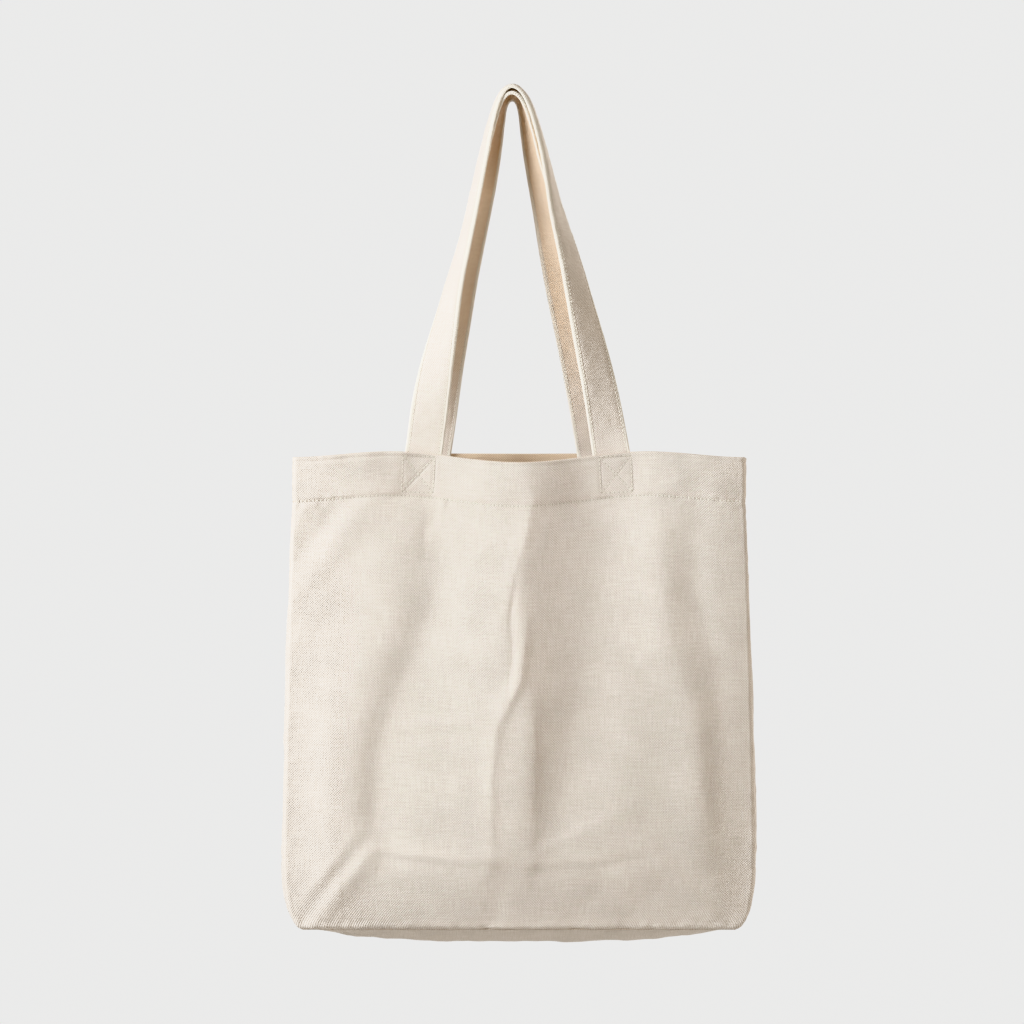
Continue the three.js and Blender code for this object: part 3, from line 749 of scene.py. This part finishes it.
def gusset_point(share, z, hand, inward=0.0):
    t = below_hem(z, CORNER_Z)
    half_depth = wall_y(CORNER_X, t) + FACE - 1.9
    middle = share * 58
    down = CORNER_Z - z
    out = np.zeros(np.broadcast(share, z).shape)
    for points, before, after in GUSSET_FOLDS:
        out += crease(middle * hand, down, points, before, after)
    shift = 900 if hand > 0 else 1400
    edge = half_depth * (1 - np.abs(share))
    free = smoothstep(edge / 16) * smoothstep((z - BASE_Z) / 30)
    out += free * (0.5 * broad(middle + shift, z) + 0.3 * medium(middle + shift, z))
    out += smoothstep(edge / 5) * (0.11 * fine(middle + shift, z) + 0.035 * tiny(middle + shift, z))
    below_row = (CORNER_Z - HEM_ROW) - z
    in_hem = smoothstep(-below_row / 2.5)
    out = out * lerp(1.0, 0.6, in_hem) + 0.5 * in_hem
    out -= 0.55 * bell(below_row, 1.2) * (0.75 + 0.25 * np.sin(2 * math.pi * middle / 3.6))
    out -= 0.45 * bell(CORNER_Z - 4.6 - z, 1.3)
    out += bell(edge, 8) * 0.2 * pucker(middle, z + shift)
    x = half_width(t) + 0.2 + gusset_bulge(t) * (1 - share**2) + smoothstep(edge / 4) * out - inward
    y = share * half_depth
    return np.stack(np.broadcast_arrays(BAG_X + hand * x, y, z), -1)


def gusset_piece(name, hand):
    order = np.linspace(-1, 1, 81) * hand
    grid, along, inside = hemmed_grid(CORNER_Z, lambda z, inward: gusset_point(order, z, hand, inward))
    piece = cloth(name, grid, order * 60 * hand, along, inside, CANVAS)
    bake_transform(piece)
    return piece


left_gusset = gusset_piece("left_gusset_cloth", -1)
right_gusset = gusset_piece("right_gusset_cloth", 1)
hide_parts("left_gusset")
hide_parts("right_gusset")


# ---------- base ----------
def base_piece():
    across = np.linspace(-1, 1, 181)[None, :]
    along = np.linspace(1, -1, 61)[:, None]
    x = across * (BASE_CORNER_X - 0.2)
    y = along * (BASE_Y + FACE - 2.2)
    sag = BASE_SAG * (1 - across**4) * (1 - along**2)
    free = smoothstep((1 - np.abs(across)) * 8) * smoothstep((1 - np.abs(along)) * 4)
    lumps = free * (0.35 * medium(x + 2300, y) + 0.10 * fine(x + 2300, y) + 0.035 * tiny(x, y))
    for points in ([(-178, -56, 0.5), (-120, 0, 1.0), (-178, 56, 0.5)],
                   [(178, -56, 0.5), (120, 0, 1.0), (178, 56, 0.5)],
                   [(-120, 0, 0.5), (0, 1, 0.3), (120, 0, 0.5)]):
        lumps = lumps + free * crease(*np.broadcast_arrays(x, y), points, 6, 6)
    z = BASE_Z - 0.4 - sag - lumps
    grid = np.stack(np.broadcast_arrays(BAG_X + x, y, z), -1)
    piece = cloth("base_panel_cloth", grid, x[0], along[:, 0] * 60, np.zeros(len(grid)), CANVAS)
    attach(piece, "bag")
    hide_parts("base_panel")
    return piece


base_panel = base_piece()


# ---------- handles ----------
def smooth_through(points, at):
    """Values at places along a line through (place, value) points, with no corner at any of them."""
    places, values = np.array(points, float).T
    slopes = np.gradient(values, places)
    k = np.clip(np.searchsorted(places, at, side="right") - 1, 0, len(places) - 2)
    step = places[k + 1] - places[k]
    t = (at - places[k]) / step
    return ((2 * t**3 - 3 * t**2 + 1) * values[k] + (t**3 - 2 * t**2 + t) * step * slopes[k]
            + (3 * t**2 - 2 * t**3) * values[k + 1] + (t**3 - t**2) * step * slopes[k + 1])


def handle_line(handle):
    """Stations along a handle from one sewn end to the other: places, and how edge-on it is."""
    side, top_z = handle["side"], handle["top_z"]
    wider, within = handle["arch"]
    base_y = side * (STRAP_Y - STRAP_INWARD)
    height = top_z - STRAP_BASE_Z

    def leg(index):
        foot = handle["leg_x"][index]
        hand = math.copysign(1, foot)
        below = height * np.linspace(1, 0, 170) ** 2  # closer together towards the bend
        rise = 1 - below / height
        x = (abs(foot) - wider) * (1 - rise) + wider * np.sqrt(1 - np.exp(-below / within))
        even, low = handle["bow"][index]
        x = x + even * np.sin(math.pi * rise) + low * np.sin(2 * math.pi * rise)
        places = np.stack([hand * x, base_y * (1 - rise), top_z - below], -1)
        sewn = np.linspace(SEWN_BOTTOM_Z, STRAP_BASE_Z, 19)[:-1]
        lean = smoothstep((sewn - STRAP_BASE_Z + 14) / 14)
        start = np.stack([lerp(handle["sewn_x"][index], foot, lean), np.full(18, base_y), sewn], -1)
        turn = smooth_through(handle["turn"][index], rise)
        return np.concatenate([start, places]), np.concatenate([np.zeros(18), turn])

    left, left_turn = leg(0)
    right, right_turn = leg(1)
    places = np.concatenate([left, right[-2::-1]])
    turn = np.concatenate([left_turn, right_turn[-2::-1]])
    steps = np.linalg.norm(np.diff(places, axis=0), axis=1)
    along = np.concatenate([[0], np.cumsum(steps)])
    even = np.linspace(0, along[-1], int(along[-1] / 1.8))
    places = np.stack([np.interp(even, along, places[:, c]) for c in range(3)], -1)
    return places, np.radians(np.interp(even, along, turn))


def handle_frame(handle):
    """Stations, the direction across the strap at each, and the direction out of the loop."""
    places, twist = handle_line(handle)
    smooth = np.array(places)
    for _ in range(4):  # rounds the joins between the legs and their sewn ends
        smooth[1:-1] = 0.25 * smooth[:-2] + 0.5 * smooth[1:-1] + 0.25 * smooth[2:]
    heading = np.gradient(smooth, axis=0)
    heading /= np.linalg.norm(heading, axis=1, keepdims=True)
    into = np.stack([heading[:, 2], 0 * heading[:, 0], -heading[:, 0]], -1)
    into /= np.linalg.norm(into, axis=1, keepdims=True)
    across = into * np.cos(twist)[:, None]
    across[:, 1] += handle["side"] * np.sin(twist)
    across -= heading * np.sum(across * heading, axis=1, keepdims=True)
    across /= np.linalg.norm(across, axis=1, keepdims=True)
    outward = np.cross(across, heading) * -handle["side"]
    steps = np.linalg.norm(np.diff(smooth, axis=0), axis=1)
    return smooth, across, outward, np.concatenate([[0], np.cumsum(steps)])


strap_wave = Waves(60, 90)


def follow_wall(points, side):
    """Moves what is sewn behind the hem with the folds of the wall, fading out above the mouth."""
    sewn = smoothstep((-290 - points[..., 2]) / 12)
    x = points[..., 0] - BAG_X
    out = drape(x, np.minimum(points[..., 2], -303), side) + wall_y(x, 0.0) - STRAP_Y
    moved = points.copy()
    moved[..., 1] += side * sewn * out
    return moved


def strap_surface(share, along, face):
    """Height of a strap's face above its middle surface. share is -0.5 to 0.5 across."""
    edge = (0.5 - np.abs(share)) * STRAP_WIDTH
    height = STRAP_THICKNESS / 2 * np.sqrt(np.clip(1 - (1 - np.clip(edge / 1.3, 0, 1)) ** 2, 0, 1))
    height = height - 0.42 * bell(edge - EDGE_ROW, 0.9) * (0.8 + 0.2 * np.sin(2 * math.pi * along / 3.6))
    height = height + 0.15 * smoothstep((edge - EDGE_ROW) / 5)
    across = share * STRAP_WIDTH
    ripple = 0.10 * fine(across + 50 * face, along) + 0.05 * tiny(across, along)
    return height + ripple * smoothstep(edge / 1.5)


def curled(share, along):
    """How far a hanging strap's edges curl towards the inside of the loop."""
    free = smoothstep((along - 55) / 90) * smoothstep((along[-1] - 55 - along) / 90)
    return np.multiply.outer(free, EDGE_CURL * (2 * share) ** 4)


def handle_piece(name, handle):
    centre, across, outward, along = handle_frame(handle)
    free = smoothstep((along - 45) / 60) * smoothstep((along[-1] - 45 - along) / 60)
    waver = 0.25 * free * strap_wave(np.full(len(along), 70 * handle["side"]), along)
    centre = centre + outward * waver[:, None]
    turn = np.linspace(0, math.pi, 29)
    share = -0.5 * np.cos(turn)
    top = strap_surface(share[None, :], along[:, None], 1)
    low = -strap_surface(share[None, ::-1], along[:, None], -1)
    shares = np.concatenate([share, share[::-1][1:-1]])
    lifts = np.concatenate([top, low[:, 1:-1]], axis=1)
    rings = (centre[:, None] + across[:, None] * (shares * STRAP_WIDTH)[None, :, None]
             + outward[:, None] * (lifts - curled(shares, along))[..., None])
    rings = follow_wall(rings, handle["side"])
    edge = (0.5 - np.abs(shares)) * STRAP_WIDTH
    inner_face = np.arange(len(shares)) >= len(share)
    height = centre[:, 2, None]
    # Deeper painted shade on the inner face near the top, where the two handles nest, more on the left
    # leg.
    nested = smoothstep((height + 95) / 60) * lerp(1.2, 0.15, smoothstep(centre[:, 0, None] / 12 + 0.5))
    # Painted warm shade on the inner face, growing up the legs, plus the nested shade.
    inner_shade = 0.10 + 0.75 * smoothstep((height + 290) / 130) + nested
    warm_shade = inner_face * inner_shade * smoothstep((edge - 3.2) / 0.8)
    # A painted highlight (negative tint) along both edges of both faces.
    tint = warm_shade - 0.85 * (1 - smoothstep((edge - 2.0) / 1.2))
    if handle["side"] > 0:
        rings, shares, tint = rings[:, ::-1], shares[::-1], tint[:, ::-1]
    weave = np.stack(np.broadcast_arrays((shares * STRAP_WIDTH)[None, :], along[:, None], 0.0), -1)
    piece = swept(name, rings, weave, tint, STRAP)
    return piece, (centre, across, outward, along)


def bend_over_mouth(piece):
    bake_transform(piece)


def handle_stitches(name, handle_name, share, line):
    centre, across, outward, along = line
    lines = []
    for face in (1, -1):
        lift = strap_surface(np.full(len(along), share), along, face) + 0.12
        height = face * lift - curled(share, along)
        points = centre + across * share * STRAP_WIDTH + outward * height[:, None]
        lines.append((follow_wall(points, HANDLES[handle_name]["side"]), outward * face))
    piece = stitches(name, lines, THREAD)
    bend_over_mouth(piece)
    return piece


for handle_name, handle in HANDLES.items():
    strap, line = handle_piece(f"{handle_name}_handle_strap", handle)
    bend_over_mouth(strap)
    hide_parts(f"{handle_name}_handle", f"{handle_name}_handle_left_end",
                f"{handle_name}_handle_right_end")
    row_share = 0.5 - EDGE_ROW / STRAP_WIDTH
    for edge, share in (("inner", row_share), ("outer", -row_share)):
        row = handle_stitches(f"{handle_name}_handle_{edge}_thread", handle_name, share, line)
        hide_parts(f"{handle_name}_handle_{edge}_stitches")


# ---------- stitches of the hem ----------
def wall_line(x, z, side, dip, lift):
    """Points and outward normals along a line on a wall's outer face."""
    mouth = mouth_z(x, dip)
    points = wall_point(x, z, side, mouth, -lift)
    before, after = [wall_point(x + step, z, side, mouth_z(x + step, dip)) for step in (-0.5, 0.5)]
    up = wall_point(x, z + 0.5, side, mouth) - wall_point(x, z - 0.5, side, mouth)
    normal = np.cross(after - before, up) * -side
    return points, normal / np.linalg.norm(normal, axis=1, keepdims=True)


for name, side, body in (("front", -1, "front_wall"), ("back", 1, "bag")):
    x = np.linspace(-1, 1, 700) * (CORNER_X - 2.0)
    z = mouth_z(x, DIPS[name]) - HEM_ROW
    row = stitches(f"{name}_hem_thread", [wall_line(x, z, side, DIPS[name], 0.22)], THREAD)
    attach(row, body)
    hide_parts(f"{name}_hem_stitches")

for name, hand in (("left", -1), ("right", 1)):
    share = np.linspace(-0.97, 0.97, 260)
    z = np.full(260, CORNER_Z - HEM_ROW)
    points = gusset_point(share, z, hand, -0.18)
    tangent = np.gradient(points, axis=0)
    normal = np.cross(tangent, np.array([0.0, 0.0, 1.0])) * hand
    row = stitches(f"{name}_gusset_hem_thread", [(points, normal)], THREAD)
    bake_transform(row)
    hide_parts(f"{name}_gusset_hem_stitches")


# ---------- box stitches ----------
def box_lines(handle_name, index):
    handle = HANDLES[handle_name]
    side, dip = handle["side"], DIPS[handle_name]
    w, h = BOX_WIDTH / 2, BOX_HEIGHT / 2
    corners = [(-w, -h), (w, -h), (w, h), (-w, h)]
    pairs = [(0, 1), (1, 2), (2, 3), (3, 0), (0, 2), (1, 3)]
    tilt = -handle["box_tilt"][index]
    lines = []
    for a, b in pairs:
        s = np.linspace(0.02, 0.98, 60)
        u, v = lerp(corners[a][0], corners[b][0], s), lerp(corners[a][1], corners[b][1], s)
        x = handle["box_x"][index] - BAG_X + u * math.cos(tilt) + v * math.sin(tilt)
        z = BOX_TOP_Z - h - u * math.sin(tilt) + v * math.cos(tilt)
        lines.append(wall_line(x, z, side, dip, 0.32))
        depth = side * (STRAP_Y - STRAP_INWARD - STRAP_THICKNESS / 2 - 0.35)
        inside = follow_wall(np.stack([BAG_X + x, np.full(60, depth), z], -1), side)
        lines.append((inside, np.broadcast_to(np.array([0.0, -side, 0.0]), inside.shape)))
    return lines


for handle_name, handle in HANDLES.items():
    for index, hand in enumerate(("left", "right")):
        box = stitches(f"{handle_name}_{hand}_box_thread", box_lines(handle_name, index), THREAD)
        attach(box, handle["wall"])
        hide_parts(f"{handle_name}_{hand}_box_stitch")


# ---------- seam tapes ----------
def tape_rings(places, inward, sideways, width=7.5, thickness=2.0):
    """A tape folded over the seam allowance: a flat teardrop section along the places."""
    turn = np.linspace(0, 2 * math.pi, 16, endpoint=False)
    u = (0.5 - 0.5 * np.cos(turn)) * width
    v = np.sin(turn) * thickness / 2 * (0.75 + 0.25 * (0.5 - 0.5 * np.cos(turn)))
    return places[:, None] + inward[:, None] * u[None, :, None] + sideways[:, None] * v[None, :, None]


def seam_tape(hand, side, body):
    z = np.linspace(BASE_Z + 11, CORNER_Z - HEM_DEPTH + 1, 170)
    t = below_hem(z, CORNER_Z)
    x = hand * (half_width(t) - 1.6)
    y = side * (wall_y(CORNER_X, t) - 2.2)
    places = np.stack([BAG_X + x, y, z], -1)
    lean = 0.75 + 0.10 * np.sin(z / 23)
    inward = np.stack([-hand * np.sin(lean), -side * np.cos(lean), 0 * z], -1)
    sideways = np.cross(inward, np.array([0.0, 0.0, 1.0]))
    rings = tape_rings(places + 0.2 * np.sin(z / 7)[:, None] * sideways, inward, sideways)
    if np.cross(rings[0, 4] - rings[0, 0], rings[0, 8] - rings[0, 0])[2] < 0:
        rings = rings[:, ::-1]
    weave = np.stack(np.broadcast_arrays(np.linspace(0, 15, 16)[None, :], z[:, None], 0.0), -1)
    where = ("front" if side < 0 else "back") + ("_left" if hand < 0 else "_right")
    piece = swept(f"{where}_seam_binding", rings, weave, 0.0, TAPE)
    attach(piece, body)
    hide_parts(f"{where}_seam_tape")


for hand in (-1, 1):
    seam_tape(hand, -1, "front_wall")
    seam_tape(hand, 1, "bag")


def base_tape():
    """The tape round the base seam, standing up inside."""
    corner, count = 10.0, 12
    hx, hy = BASE_CORNER_X - 4.0, BASE_Y - 3.4
    outline, inwards = [], []
    for quarter, (cx, cy) in enumerate(((hx - corner, hy - corner), (corner - hx, hy - corner),
                                        (corner - hx, corner - hy), (hx - corner, corner - hy))):
        for s in np.linspace(0, 1, count):
            angle = (quarter + s) * math.pi / 2
            outline.append((BAG_X + cx + corner * math.cos(angle), cy + corner * math.sin(angle)))
            inwards.append((-math.cos(angle), -math.sin(angle), 0.0))
    outline, inwards = np.array(outline), np.array(inwards)
    places = np.column_stack([outline, np.full(len(outline), BASE_Z + 2.0)])
    up = np.zeros_like(places)
    up[:, 2] = 1.0
    rings = tape_rings(places, up, inwards, 7.0, 1.8)[:, ::-1]
    along = np.arange(len(places))[:, None] * 4.0
    weave = np.stack(np.broadcast_arrays(np.linspace(0, 15, 16)[None, :], along, 0.0), -1)
    piece = swept("base_seam_binding", rings, weave, 0.0, TAPE, closed=True)
    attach(piece, "bag")
    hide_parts("base_seam_tape")


base_tape()
